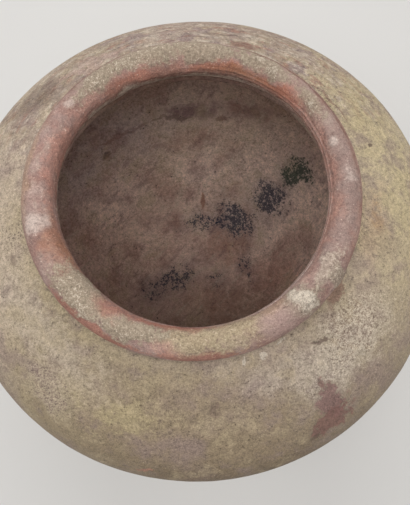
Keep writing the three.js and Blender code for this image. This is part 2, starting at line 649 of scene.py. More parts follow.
@dataclass(frozen=True)
class GlazeFinish:
    """Aged matt glaze of the outside, with its clouds, tints, specks and bare places; the tints on the front are
    partly painted shade.
    """

    ground: Hue = Hue.BUFF
    cloud: Hue = Hue.OLIVE
    veil: Hue = Hue.MAUVE
    streak: Hue = Hue.RUST
    salt: Hue = Hue.CHALK
    # Colour of the painted shade under the lip, and of the dark specks pitted into the far shoulder.
    neck_shade_and_grime: Hue = Hue.GRIME_AND_SHADE
    roughness: float = 0.66
    tints: tuple[Mark, ...] = (
        Mark(Patch(Face.OUTSIDE, 0, 168, 62, 26, ragged=60, soft=1.0), Hue.STRAW, 0.75),
        Mark(Patch(Face.OUTSIDE, -14, 177, 18, 8, ragged=30, soft=0.6), Hue.SAND, 0.5),
        Mark(Patch(Face.OUTSIDE, 170, 172, 56, 20, ragged=60, soft=0.7), Hue.BUFF, 0.7),
        Mark(Patch(Face.OUTSIDE, 95, 168, 90, 22, ragged=60, soft=0.5), Hue.MAUVE, 0.5),
        # Partly painted shade: these two tints make the front darker and browner, partly the glaze's own tone and
        # partly shade for the light falling from above and behind.
        Mark(Patch(Face.OUTSIDE, -85, 126, 104, 60, ragged=60, soft=0.9), Hue.LOAM_AND_SHADE, 1.0),
        Mark(Patch(Face.OUTSIDE, -92, 165, 44, 12, ragged=50, soft=0.8), Hue.DUN_AND_SHADE, 0.65),
        # Partly painted shade: a darker band on the front shoulder under the lip's overhang.
        Mark(Patch(Face.OUTSIDE, -90, 174, 60, 12, ragged=40, soft=0.8), Hue.DUN_AND_SHADE, 0.62),
        Mark(Patch(Face.OUTSIDE, 55, 170, 20, 12, ragged=40, soft=0.6), Hue.MAUVE, 0.4),
        Mark(Patch(Face.OUTSIDE, -117, 170, 22, 8, ragged=40, soft=0.6), Hue.STRAW, 0.45),
        Mark(Patch(Face.OUTSIDE, -142, 175, 32, 9, ragged=40, soft=0.6), Hue.BONE, 0.6),
        Mark(Patch(Face.OUTSIDE, -76, 175, 16, 6, ragged=30, soft=0.6), Hue.MAUVE, 0.35),
        Mark(Patch(Face.OUTSIDE, -52, 173, 26, 13, ragged=40, soft=0.6), Hue.CHALK, 0.5),
        Mark(Patch(Face.OUTSIDE, -70, 176, 16, 6, ragged=30, soft=0.6), Hue.BONE, 0.65),
        Mark(Patch(Face.OUTSIDE, -134, 167, 14, 9, ragged=30, soft=0.6), Hue.BONE, 0.4),
    )
    marks: tuple[Mark, ...] = (
        Mark(Patch(Face.OUTSIDE, 135, 169.5, 14, 12, ragged=40, soft=0.5), Hue.GRIME_AND_SHADE, 0.6),
        Mark(Patch(Face.OUTSIDE, 118, 172, 18, 5, ragged=40, soft=0.4), Hue.ASH, 0.55),
        Mark(Patch(Face.OUTSIDE, 68, 174.2, 8, 2.6, ragged=24, speckle=3, soft=0.4), Hue.UMBER, 0.75, -0.2),
        Mark(Patch(Face.OUTSIDE, 78, 170.6, 20, 0.6, ragged=10, speckle=4), Hue.SOOT, 0.5, -0.15),
        Mark(Patch(Face.OUTSIDE, 84, 172.4, 14, 0.5, ragged=10, speckle=4), Hue.SOOT, 0.45, -0.15),
        Mark(Patch(Face.OUTSIDE, 95, 174.9, 15, 0.7, ragged=12), Hue.UMBER, 0.7, -0.15),
        Mark(Patch(Face.OUTSIDE, 34, 176.2, 22, 0.6, ragged=10), Hue.UMBER, 0.65, -0.15),
        Mark(Patch(Face.OUTSIDE, 91, 176.0, 15, 0.7, ragged=12, speckle=3), Hue.CHALK, 0.85, 0.2),
        Mark(Patch(Face.OUTSIDE, 13, 174.4, 1.2, 1.2, ragged=6), Hue.SOOT, 0.8, -0.3),
        Mark(Patch(Face.OUTSIDE, -12, 176.6, 8, 3, ragged=30, speckle=5, soft=0.6), Hue.OCHRE, 0.35),
        Mark(Patch(Face.OUTSIDE, -91, 173.7, 2.4, 1.8, ragged=14, speckle=4), Hue.GRIME_AND_SHADE, 0.6, -0.3),
        Mark(Patch(Face.OUTSIDE, -56.0, 176.9, 4.2, 1.1, -40, 14, 3), Hue.GRIME_AND_SHADE, 0.8, -0.5),
        Mark(Patch(Face.OUTSIDE, -80.0, 179.4, 0.8, 1.9, -25, 9, 4), Hue.CHALK, 0.8, 0.3),
        Mark(Patch(Face.OUTSIDE, -73.2, 179.5, 1.5, 2.4, -25, 10, 5), Hue.CHALK, 0.8, 0.3),
        Mark(Patch(Face.OUTSIDE, -66.0, 179.9, 2.4, 0.5, 8, 8, 4), Hue.CHALK, 0.6, 0.2),
        Mark(Patch(Face.OUTSIDE, -168, 176, 3.0, 1.2, 0, 12, 5), Hue.GRIME_AND_SHADE, 0.5),
        Mark(Patch(Face.OUTSIDE, -107, 153, 4, 1.2), Hue.BRICK, 0.6),
        Mark(Patch(Face.OUTSIDE, -41, 179.5, 7, 3, 25, 16, 3), Hue.UMBER, 0.75, -0.4),
    )
    pepper: tuple[Mark, ...] = (
        Mark(Patch(Face.OUTSIDE, -46, 174, 20, 14, ragged=30, soft=0.6), Hue.UMBER, 0.52),
        Mark(Patch(Face.OUTSIDE, -134, 167, 13, 10, ragged=30, soft=0.6), Hue.PLUM, 0.56),
        Mark(Patch(Face.OUTSIDE, -174, 176, 14, 9, ragged=30, soft=0.6), Hue.SOOT, 0.38),
        Mark(Patch(Face.OUTSIDE, 34, 178, 14, 8, ragged=30, soft=0.6), Hue.SOOT, 0.44),
        Mark(Patch(Face.OUTSIDE, -18, 180, 16, 7, ragged=30, soft=0.6), Hue.SOOT, 0.4),
    )
    flakes: tuple[Mark, ...] = (
        Mark(Patch(Face.OUTSIDE, -48, 172, 26, 15, ragged=30, soft=0.6), Hue.CHALK, 0.42),
        Mark(Patch(Face.OUTSIDE, -62, 170.5, 9, 4, ragged=20, soft=0.6), Hue.CHALK, 0.55),
    )
    bare: tuple[Mark, ...] = (
        Mark(Patch(Face.OUTSIDE, -62.2, 165.0, 7.4, 8.0, 8, 18, 3, 0.18), Hue.MULBERRY, 0.9, -0.35),
        Mark(Patch(Face.OUTSIDE, -64.0, 159.2, 13.0, 5.0, 10, 18, 3, 0.2), Hue.OXBLOOD, 0.85, -0.35),
        Mark(Patch(Face.OUTSIDE, -61.6, 170.4, 1.4, 3.0, 0, 12, 3, 0.3), Hue.OXBLOOD, 0.7, -0.2),
        Mark(Patch(Face.OUTSIDE, -69.0, 156.4, 3.0, 1.4, 20, 8, 2, 0.3), Hue.SOOT, 0.6, -0.2),
    )


@dataclass(frozen=True)
class LipFinish:
    """Bare terracotta of the rolled lip, with what is left of its glaze and crust, painted shade along its far edges
    and painted highlights on its ridge crests.
    """

    ground: Hue = Hue.ROSE
    faded: Hue = Hue.ASH
    veil: Hue = Hue.MAUVE
    dust: Hue = Hue.BONE
    root: Hue = Hue.BRICK
    ledge: Hue = Hue.ROSE
    # Painted highlight on the crests of the lip's throwing ridges.
    ridge_highlight: Hue = Hue.BLUSH
    fleck: Hue = Hue.CHALK
    pit: Hue = Hue.MOSS
    crack: Hue = Hue.GRIME_AND_SHADE
    roughness: float = 0.88
    # Worn places of the bare clay, with one line of painted shade among them.
    worn: tuple[Mark, ...] = (
        Mark(Patch(Face.LIP, 84, 148, 68, 3.2, ragged=24, speckle=4, soft=1.2), Hue.SALMON, 0.75),
        Mark(Patch(Face.LIP, 72, 154, 14, 2.8, ragged=16, speckle=2.5, soft=0.8), Hue.RUSSET, 0.8),
        Mark(Patch(Face.LIP, 43, 156, 12, 3.2, ragged=16, speckle=2.5, soft=0.7), Hue.RUSSET, 0.85),
        Mark(Patch(Face.LIP, 112, 158, 14, 2.4, ragged=16, speckle=2.5, soft=0.8), Hue.RUSSET, 0.65),
        Mark(Patch(Face.LIP, 62, 158, 16, 2.8, ragged=16, speckle=5, soft=0.9), Hue.OCHRE, 0.42),
        Mark(Patch(Face.LIP, 97, 150, 8, 2.6, ragged=16, speckle=3, soft=0.8), Hue.UMBER, 0.45),
        Mark(Patch(Face.LIP, 122, 148, 7, 2.8, ragged=16, speckle=3, soft=0.8), Hue.UMBER, 0.4),
        # Painted shade: a thin dark line below the far red band, where the lip's inner face turns down into the
        # throat.
        Mark(Patch(Face.LIP, 85, 178, 66, 2.4, ragged=14, speckle=3), Hue.UMBER, 0.7),
        Mark(Patch(Face.LIP, 168, 42, 24, 3.4, speckle=1, soft=0.6), Hue.SAND, 0.6),
        Mark(Patch(Face.LIP, 165, 152, 26, 3.4, speckle=1.5, soft=0.7), Hue.BRICK, 0.5),
        Mark(Patch(Face.LIP, -160, 134, 15, 5.0, speckle=1.5, soft=0.6), Hue.ORANGE, 0.6),
        Mark(Patch(Face.LIP, -156, 150, 10, 3.0, speckle=2, soft=0.4), Hue.ORANGE, 0.7),
        Mark(Patch(Face.LIP, -130, 30, 22, 4.2, ragged=12, speckle=2.5), Hue.BRICK, 0.85),
        Mark(Patch(Face.LIP, -93, 26, 18, 4.0, ragged=12, speckle=2.5), Hue.BRICK, 0.8),
        Mark(Patch(Face.LIP, -104, 148, 20, 2.8, speckle=2.5, soft=0.6), Hue.BRICK, 0.95),
        Mark(Patch(Face.LIP, -66, 128, 10, 3.4, speckle=2, soft=0.7), Hue.SAND, 0.85),
        Mark(Patch(Face.LIP, -12, 145, 36, 3.0, speckle=1.5, soft=0.7), Hue.BRICK, 0.5),
        Mark(Patch(Face.LIP, -4, 38, 36, 4.2, speckle=1.5, soft=0.7), Hue.RUST, 0.5),
        Mark(Patch(Face.LIP, -10, 98, 38, 5.0, ragged=24, speckle=1.5, soft=0.7), Hue.MAUVE, 0.6),
        Mark(Patch(Face.LIP, 15, 188, 40, 4.0, ragged=8, speckle=2, soft=0.6), Hue.SALMON, 0.4),
        Mark(Patch(Face.LIP, 112, 196, 66, 1.8, ragged=14, speckle=6, soft=0.9), Hue.BONE, 0.8),
        Mark(Patch(Face.LIP, 176, 200, 34, 1.2, ragged=8, speckle=5, soft=0.9), Hue.BONE, 0.7),
    )
    coat: tuple[Mark, ...] = (
        Mark(Patch(Face.LIP, 124, 100, 14, 4.2, speckle=3, soft=0.4), Hue.SAGE, 0.85, 0.25),
        Mark(Patch(Face.LIP, 103, 98, 18, 4.4, speckle=3, soft=0.4), Hue.SAGE, 0.85, 0.25),
        Mark(Patch(Face.LIP, 80, 98, 20, 4.2, speckle=3, soft=0.4), Hue.SAGE, 0.85, 0.25),
        Mark(Patch(Face.LIP, 55, 96, 15, 4.2, speckle=3, soft=0.4), Hue.SAGE, 0.85, 0.25),
        Mark(Patch(Face.LIP, 30, 106, 9, 4.2, speckle=4, soft=0.6), Hue.SAGE, 0.8, 0.2),
        Mark(Patch(Face.LIP, 85, 56, 50, 3.0, ragged=24, speckle=4), Hue.SAGE, 0.8, 0.2),
        Mark(Patch(Face.LIP, -42, 88, 9, 4.8, speckle=4, soft=0.4), Hue.BONE, 0.62, 0.4),
        Mark(Patch(Face.LIP, -40, 30, 5, 6.0, speckle=3), Hue.CREAM, 0.75, 0.6),
        Mark(Patch(Face.LIP, -55, 84, 8, 6.5, speckle=4, soft=0.4), Hue.CREAM, 0.8, 0.3),
        Mark(Patch(Face.LIP, -80, 110, 11, 8.0, speckle=3, soft=0.7), Hue.OLIVE, 0.85, 0.3),
        Mark(Patch(Face.LIP, -97, 92, 15, 5.8, speckle=3, soft=0.6), Hue.OLIVE, 0.85, 0.3),
        Mark(Patch(Face.LIP, -117, 96, 15, 5.8, speckle=3), Hue.SAGE, 0.9, 0.35),
        Mark(Patch(Face.LIP, -140, 106, 13, 8.4, speckle=3), Hue.SAGE, 0.9, 0.4),
    )
    # Further marks laid over the coat, two of them lines of painted shade.
    shed_and_rim_shade: tuple[Mark, ...] = (
        Mark(Patch(Face.LIP, -104, 152, 17, 2.8, speckle=3, soft=0.8), Hue.BRICK, 0.6),
        # Partly darker clay and partly painted shade: thin dark lines along the lip's far outer edge, where it
        # stands against the shoulder behind.
        Mark(Patch(Face.LIP, 116, 52, 34, 0.9, ragged=8, speckle=3, soft=0.6), Hue.UMBER, 0.8),
        Mark(Patch(Face.LIP, 40, 52, 44, 1.3, ragged=8, speckle=3, soft=0.6), Hue.UMBER, 0.85),
        Mark(Patch(Face.LIP, -55, 90, 3.6, 4.8, ragged=14, speckle=2.4, soft=0.5), Hue.CHALK, 0.95, 0.5),
        Mark(Patch(Face.LIP, -129, 132, 5.4, 3.2, speckle=3, soft=0.8), Hue.BRICK, 0.7),
        Mark(Patch(Face.LIP, -104, 46, 6.0, 2.6, speckle=3, soft=0.9), Hue.SALMON, 0.4),
        Mark(Patch(Face.LIP, -66, 76, 6.5, 6.5, speckle=3, soft=0.9), Hue.ASH, 0.8),
        Mark(Patch(Face.LIP, -171, 78, 3.4, 3.4, 0, 10, 2, 0.7), Hue.BLUSH, 0.85),
        Mark(Patch(Face.LIP, -171, 118, 2.4, 2.0, 0, 8, 2, 0.7), Hue.BLUSH, 0.6),
        Mark(Patch(Face.LIP, 175, 92, 4.0, 3.0, 0, 14, 2, 0.8), Hue.BLUSH, 0.4),
        Mark(Patch(Face.LIP, 138, 92, 2.4, 1.8, 0, 8, 2, 0.6), Hue.BLUSH, 0.6),
        Mark(Patch(Face.LIP, 11, 110, 2.0, 2.0, 0, 6, 2, 0.6), Hue.BLUSH, 0.8),
        Mark(Patch(Face.LIP, -3, 96, 3.0, 1.6, 0, 14, 3, 0.8), Hue.BLUSH, 0.45),
    )
    flakes: tuple[Mark, ...] = (
        Mark(Patch(Face.LIP, -55, 84, 6.5, 5.8, ragged=14, soft=0.8), Hue.CHALK, 0.45),
        Mark(Patch(Face.LIP, -142, 96, 9.0, 6.0, ragged=16, soft=0.8), Hue.CHALK, 0.38, 0.25),
        Mark(Patch(Face.LIP, -135, 66, 5.0, 2.4, ragged=14, soft=0.8), Hue.CHALK, 0.6, 0.25),
        Mark(Patch(Face.LIP, -118, 78, 9.0, 3.0, ragged=14, soft=0.8), Hue.CHALK, 0.34, 0.2),
        Mark(Patch(Face.LIP, 57, 84, 4.0, 1.8, ragged=14, soft=0.8), Hue.CHALK, 0.7, 0.2),
        Mark(Patch(Face.LIP, 50, 104, 3.0, 1.6, ragged=14, soft=0.8), Hue.CHALK, 0.65, 0.2),
        Mark(Patch(Face.LIP, 28, 114, 3.0, 2.0, ragged=12, soft=0.8), Hue.CHALK, 0.65, 0.2),
        Mark(Patch(Face.LIP, 92, 80, 14, 2.4, ragged=14, soft=0.8), Hue.CHALK, 0.34, 0.2),
        Mark(Patch(Face.LIP, 110, 104, 12, 3.4, ragged=16, soft=0.8), Hue.CHALK, 0.4, 0.2),
        Mark(Patch(Face.LIP, 128, 98, 7.0, 3.0, ragged=14, soft=0.8), Hue.CHALK, 0.42, 0.2),
        Mark(Patch(Face.LIP, 90, 142, 60, 3.0, ragged=14, soft=0.8), Hue.BLUSH, 0.22),
        Mark(Patch(Face.LIP, -40, 70, 5.0, 6.0, ragged=14, soft=0.8), Hue.CHALK, 0.35, 0.2),
    )
    crust: tuple[Mark, ...] = (
        Mark(Patch(Face.LIP, -52, 80, 8.0, 7.0, ragged=14, soft=0.5), Hue.CHALK, 0.7),
        Mark(Patch(Face.LIP, -40, 62, 8.0, 7.0, ragged=14, soft=0.5), Hue.CHALK, 0.6),
    )


@dataclass(frozen=True)
class InsideFinish:
    """Unglazed inside with its stains and darker mottling, painted light on its walls and far floor, and painted
    shade on its near and left floor.
    """

    ground: Hue = Hue.TAUPE
    cloud: Hue = Hue.TAN
    dusk: Hue = Hue.PLUM
    rust: Hue = Hue.RUST
    moss: Hue = Hue.OLIVE
    dust: Hue = Hue.BONE
    roughness: float = 0.85
    marks: tuple[Mark, ...] = (
        # Painted shade: the near floor and the left floor darkened where the lip keeps the light off them.
        Mark(Patch(Face.FLOOR, -95, 50, 60, 26, ragged=60, soft=0.7), Hue.UMBER, 0.48),
        Mark(Patch(Face.FLOOR, 172, 48, 26, 24, ragged=60, soft=0.7), Hue.UMBER, 0.5),
        # Painted light: pale patches on the right wall and the far floor, standing in for the light that falls in
        # through the mouth.
        Mark(Patch(Face.INSIDE, 5, 50, 60, 45, ragged=60, soft=0.8), Hue.SHELL_PAINTED_LIGHT, 1.0),
        Mark(Patch(Face.FLOOR, 100, 40, 60, 34, ragged=60, soft=0.8), Hue.SHELL_PAINTED_LIGHT, 0.9),
        Mark(Patch(Face.FLOOR, 130, 42, 26, 24, ragged=50, soft=0.8), Hue.RUST, 0.3),
        Mark(Patch(Face.FLOOR, 36, 36, 18, 14, ragged=40, soft=0.8), Hue.RUST, 0.8),
        # Painted light on the right edge of the floor.
        Mark(Patch(Face.FLOOR, 5, 66, 26, 24, ragged=40, soft=0.8), Hue.SHELL_PAINTED_LIGHT, 1.0),
        Mark(Patch(Face.FLOOR, -90, 4, 26, 18, ragged=40, soft=0.8), Hue.RUST, 0.45),
        Mark(Patch(Face.FLOOR, 110, 59, 16, 12, ragged=40, soft=0.8), Hue.UMBER, 0.25),
        # Painted light on the far and far-left walls.
        Mark(Patch(Face.INSIDE, 136, 47, 18, 15, ragged=40, soft=0.8), Hue.SHELL_PAINTED_LIGHT, 0.8),
        Mark(Patch(Face.INSIDE, 84, 40, 16, 13, ragged=40, soft=0.8), Hue.SHELL_PAINTED_LIGHT, 0.8),
        Mark(Patch(Face.INSIDE, 128, 86, 56, 26, ragged=50, soft=0.8), Hue.PEARL_PAINTED_LIGHT, 0.7),
        Mark(Patch(Face.FLOOR, -6, 56, 16, 12, ragged=40, soft=0.8), Hue.SALMON, 0.55),
        # Painted light on the right wall.
        Mark(Patch(Face.INSIDE, 10, 46, 18, 16, ragged=40, soft=0.8), Hue.SHELL_PAINTED_LIGHT, 0.8),
        Mark(Patch(Face.INSIDE, 85, 85, 17, 6, ragged=34, speckle=5, soft=0.7), Hue.PLUM, 0.75),
        Mark(Patch(Face.INSIDE, 62.5, 89, 13, 6, ragged=34, speckle=5, soft=0.7), Hue.PLUM, 0.7),
        Mark(Patch(Face.INSIDE, 115, 82.4, 20, 1.6, ragged=22, speckle=4), Hue.PLUM, 0.55),
        Mark(Patch(Face.INSIDE, 74, 78, 5, 2.2, ragged=20), Hue.UMBER, 0.7),
        Mark(Patch(Face.INSIDE, 95, 80, 14, 1.6, ragged=22), Hue.GRIME_AND_SHADE, 0.6),
        Mark(Patch(Face.INSIDE, 125, 73.5, 4, 2.5, ragged=14), Hue.SOOT, 0.7),
        Mark(Patch(Face.INSIDE, 82.5, 18, 1.6, 7.0, ragged=6, speckle=1), Hue.ORANGE, 0.8, 0.8),
        # Painted highlight: the light edge of the raised crescent beside it.
        Mark(Patch(Face.INSIDE, 79.6, 18, 1.4, 5.0, ragged=4, speckle=1), Hue.SHELL_PAINTED_LIGHT, 0.6),
    )
    stains: tuple[Mark, ...] = (
        Mark(Patch(Face.INSIDE, 36.7, 64, 11, 18, ragged=30, soft=0.7), Hue.VERDIGRIS, 0.78),
        Mark(Patch(Face.INSIDE, 41, 36, 15, 17, ragged=30, soft=0.7), Hue.SLATE, 0.75),
        Mark(Patch(Face.FLOOR, 52, 57, 21, 14, -35, 32, soft=0.8), Hue.SLATE, 0.72),
        Mark(Patch(Face.FLOOR, 82, 47, 20, 9, 0, 32, soft=0.8), Hue.SLATE, 0.58),
        Mark(Patch(Face.FLOOR, 176, 22, 20, 12, 20, 32, soft=0.8), Hue.SLATE, 0.6),
        Mark(Patch(Face.FLOOR, -170, 42, 10, 10, 0, 32, soft=0.8), Hue.SLATE, 0.48),
        Mark(Patch(Face.FLOOR, 10, 40, 6, 18, 10, 32, soft=0.8), Hue.SLATE, 0.48),
        Mark(Patch(Face.FLOOR, -12, 12, 9, 7, 0, 32, soft=0.8), Hue.SLATE, 0.42),
    )


@dataclass
class JarSkin:
    """Single finish of the fired piece: glaze outside, clay on the lip, stained clay inside."""

    profile: JarProfile
    glaze: GlazeFinish = GlazeFinish()
    lip: LipFinish = LipFinish()
    inside: InsideFinish = InsideFinish()

    PEPPER: ClassVar[Grains] = Grains(4.0, 0.45)
    CHIPS: ClassVar[Grains] = Grains(-4.0, 0.32)
    FLAKES: ClassVar[Grains] = Grains(-4.0, 0.45)
    STAINS: ClassVar[Grains] = Grains(4.0, 0.8, 0.5, True)
    SCRAPE_TURN: ClassVar[float] = -40.0
    SCRAPE_SCALE: ClassVar[tuple[float, float, float]] = (45.0, 260.0, 90.0)

    def build(self) -> bpy.types.Material:
        """Makes the material.

        Returns:
            The finished material.
        """
        material = bpy.data.materials.new("worn_glaze_on_terracotta")
        material.use_nodes = True
        material.node_tree.nodes.clear()
        write = NodeWriter(material.node_tree)
        place = write.add("ShaderNodeTexCoord").outputs["Object"]
        along = write.add("ShaderNodeAttribute", attribute_name=ALONG).outputs["Fac"]
        fields = SurfaceFields(write, place, along)
        on_lip = self._past(fields, self.profile.locate(Face.LIP, -20)[0], 0.006, 0.0018)
        within = self._past(fields, self.profile.locate(Face.LIP, 224)[0], 0.003, 0.0015)
        colour = write.blend(on_lip, self._outside(fields), self._lip(fields))
        colour = write.blend(within, colour, self._inside(fields))
        shader = write.add("ShaderNodeBsdfPrincipled")
        write.feed(shader.inputs["Base Color"], colour)
        write.feed(shader.inputs["Roughness"], self._roughness(fields, on_lip, within))
        write.feed(shader.inputs["Normal"], self._bump(fields))
        shader.inputs["Specular IOR Level"].default_value = 0.3
        end = write.add("ShaderNodeOutputMaterial")
        write.feed(end.inputs["Surface"], shader.outputs[0])
        return material

    @staticmethod
    def _past(fields: SurfaceFields, edge: float, wander: float, soft: float) -> Socket:
        """Fades from 0 to 1 where the line passes an edge.

        Args:
            fields: what the surface offers.
            edge: distance along the profile.
            wander: how far the edge strays.
            soft: how wide the fade is.

        Returns:
            The share past the edge.
        """
        strayed = fields.writer.math("MULTIPLY_ADD", fields.ragged, wander, fields.along)
        middle = edge + wander / 2
        return fields.writer.ramp(strayed, middle - soft, middle + soft)

    def _lay(self, fields: SurfaceFields, colour: Socket, marks: tuple[Mark, ...]) -> Socket:
        """Lays marks over a colour, in order."""
        for mark in marks:
            mask = mark.patch.mask(fields, self.profile, mark.strength)
            colour = fields.writer.blend(mask, colour, paint(mark.hue))
        return colour

    def _total(self, fields: SurfaceFields, marks: tuple[Mark, ...]) -> Socket:
        """Joins the masks of several marks into one, the strongest at each point."""
        total = marks[0].patch.mask(fields, self.profile, marks[0].strength)
        for mark in marks[1:]:
            total = fields.writer.math("MAXIMUM", total, mark.patch.mask(fields, self.profile, mark.strength))
        return total

    @staticmethod
    def _shade(fields: SurfaceFields, colour: Socket, *layers: tuple[Socket, float]) -> Socket:
        """Lightens and darkens a colour.

        Args:
            fields: what the surface offers.
            colour: the colour.
            layers: noises, each with how strongly it works.

        Returns:
            The shaded colour.
        """
        factor: Feed = 1.0 - sum(amount for _, amount in layers) / 2
        for noise, amount in layers:
            factor = fields.writer.math("MULTIPLY_ADD", noise, amount, factor)
        node = fields.writer.add("ShaderNodeVectorMath", operation="SCALE")
        fields.writer.feed(node.inputs["Vector"], colour)
        fields.writer.feed(node.inputs["Scale"], factor)
        return node.outputs[0]

    def _scatter(
        self, fields: SurfaceFields, colour: Socket, marks: tuple[Mark, ...], grains: Grains
    ) -> Socket:
        """Lays marks that are broken into grains, thinning out towards their edges.

        Args:
            fields: what the surface offers.
            colour: the colour below.
            marks: the marks.
            grains: how they are broken.

        Returns:
            The colour with the marks.
        """
        write = fields.writer
        noise = fields.crumbs if grains.coarse else fields.specks
        for mark in marks:
            mask = mark.patch.mask(fields, self.profile, mark.strength)
            if grains.smudge:
                colour = write.blend(write.math("MULTIPLY", mask, grains.smudge), colour, paint(mark.hue))
            dots = write.math("MULTIPLY_ADD", noise, grains.gain, write.math("SUBTRACT", mask, grains.gain / 2))
            colour = write.blend(write.ramp(dots, 0.47, 0.7, 0.0, grains.cover), colour, paint(mark.hue))
        return colour

    def _outside(self, fields: SurfaceFields) -> Socket:
        """Colour of the glazed outside."""
        write = fields.writer
        finish = self.glaze
        broad = write.noise(fields.place, 11.0, 4.0, 0.5)
        colour = write.blend(write.ramp(broad, 0.4, 0.6), paint(finish.ground), paint(finish.cloud))
        colour = self._lay(fields, colour, finish.tints)
        colour = write.blend(write.ramp(fields.cloud, 0.5, 0.68, 0.0, 0.5), colour, paint(finish.veil))
        colour = write.blend(write.ramp(fields.ragged, 0.48, 0.66, 0.0, 0.55), colour, paint(finish.veil))
        colour = write.blend(write.ramp(fields.ragged, 0.48, 0.34, 0.0, 0.5), colour, paint(finish.cloud))
        _, back, level = write.split(fields.place)
        far = write.math("MULTIPLY", write.ramp(back, 0.02, 0.07), write.ramp(level, 0.15, 0.168))
        blotch = write.noise(fields.place, 60.0, 6.0, 0.68)
        worn = write.math("MULTIPLY", far, write.ramp(blotch, 0.52, 0.6))
        colour = write.blend(worn, colour, paint(finish.veil))
        pale = write.math("MULTIPLY", far, write.ramp(blotch, 0.44, 0.36, 0.0, 0.32))
        colour = write.blend(pale, colour, paint(finish.salt))
        salted = write.math("MULTIPLY", far, write.ramp(fields.turned, 0.47, 0.37, 0.0, 0.4))
        colour = write.blend(salted, colour, paint(finish.salt))
        rust = write.math("MULTIPLY", far, write.ramp(fields.turned, 0.53, 0.66, 0.0, 0.75))
        colour = write.blend(rust, colour, paint(finish.streak))
        pitted = write.math("MULTIPLY", far, write.ramp(fields.crumbs, 0.54, 0.62, 0.0, 0.3))
        colour = write.blend(pitted, colour, paint(finish.neck_shade_and_grime))
        dusted = write.math("MULTIPLY", far, write.ramp(fields.crumbs, 0.46, 0.38, 0.0, 0.3))
        colour = write.blend(dusted, colour, paint(finish.salt))
        # Painted shade: a dark band on the shoulder just under the lip's overhang, all round the neck.
        neck_shade_and_grime = self._past(fields, self.profile.begin("groove") - 0.005, 0.008, 0.005)
        colour = write.blend(write.math("MULTIPLY", neck_shade_and_grime, 0.9), colour, paint(finish.neck_shade_and_grime))
        colour = self._lay(fields, colour, finish.marks)
        colour = self._scatter(fields, colour, finish.flakes, self.CHIPS)
        colour = self._scatter(fields, colour, finish.pepper, self.PEPPER)
        colour = self._lay(fields, colour, finish.bare)
        return self._shade(
            fields, colour, (fields.grit, -1.6), (fields.grain, -1.3), (fields.fleck, -0.9), (fields.turned, -0.15)
        )

    def _lip(self, fields: SurfaceFields) -> Socket:
        """Colour of the worn lip."""
        write = fields.writer
        finish = self.lip
        colour = write.blend(write.ramp(fields.ragged, 0.3, 0.66), paint(finish.ground), paint(finish.faded))
        colour = write.blend(write.ramp(fields.cloud, 0.42, 0.68, 0.0, 0.35), colour, paint(finish.veil))
        colour = write.blend(write.ramp(fields.turned, 0.48, 0.7, 0.0, 0.3), colour, paint(finish.dust))
        colour = write.blend(self._band(fields, -60, 2.4, 0.7), colour, paint(finish.root))
        colour = write.blend(self._band(fields, 202, 5.0, 0.8), colour, paint(finish.ledge))
        # Painted highlight: pale lines on the crests of the throwing ridges inside the lip, strongest on the right
        # side.
        pale = write.math("MULTIPLY", write.ramp(fields.ridges, 0.1, 0.8), self._band(fields, 186, 5.0, 0.95))
        colour = write.blend(pale, colour, paint(finish.ridge_highlight))
        colour = self._lay(fields, colour, finish.worn)
        colour = self._shade(fields, colour, (fields.fleck, -0.6), (fields.turned, 0.2))
        coated = self._total(fields, finish.coat)
        colour = self._lay(fields, colour, finish.coat)
        sparkle = write.math("MULTIPLY_ADD", fields.broken, 0.4, write.math("MULTIPLY", fields.specks, 0.6))
        light = write.math("MULTIPLY", write.ramp(sparkle, 0.49, 0.42, 0.0, 0.2), coated)
        colour = write.blend(light, colour, paint(finish.fleck))
        dark = write.math("MULTIPLY", write.ramp(sparkle, 0.51, 0.58, 0.0, 0.3), coated)
        colour = write.blend(dark, colour, paint(finish.pit))
        colour = self._lay(fields, colour, finish.shed_and_rim_shade)
        colour = self._scatter(fields, colour, finish.flakes, self.FLAKES)
        cracks = write.ramp(write.math("ABSOLUTE", write.math("SUBTRACT", fields.fleck, 0.5)), 0.022, 0.004)
        crusted = self._total(fields, finish.crust)
        colour = write.blend(write.math("MULTIPLY", cracks, crusted), colour, paint(finish.crack))
        return self._shade(fields, colour, (fields.grit, -1.4), (fields.grain, -1.0), (fields.turned, 0.2))

    def _band(self, fields: SurfaceFields, level: float, half: float, strength: float) -> Socket:
        """Tells where a band runs round the lip.

        Args:
            fields: what the surface offers.
            level: angle round the lip's roll.
            half: half the band's width in millimetres.
            strength: the number in its middle.

        Returns:
            The strength in the band, broken by the noise.
        """
        write = fields.writer
        along = self.profile.locate(Face.LIP, level)[0]
        off = write.math("ABSOLUTE", write.math("MULTIPLY_ADD", fields.along, 1 / (half * MM), -along / (half * MM)))
        off = write.math("MULTIPLY_ADD", fields.ragged, 1.8, off)
        off = write.math("MULTIPLY_ADD", fields.fleck, 1.8, off)
        return write.ramp(off, 3.1, 2.3, 0.0, strength)

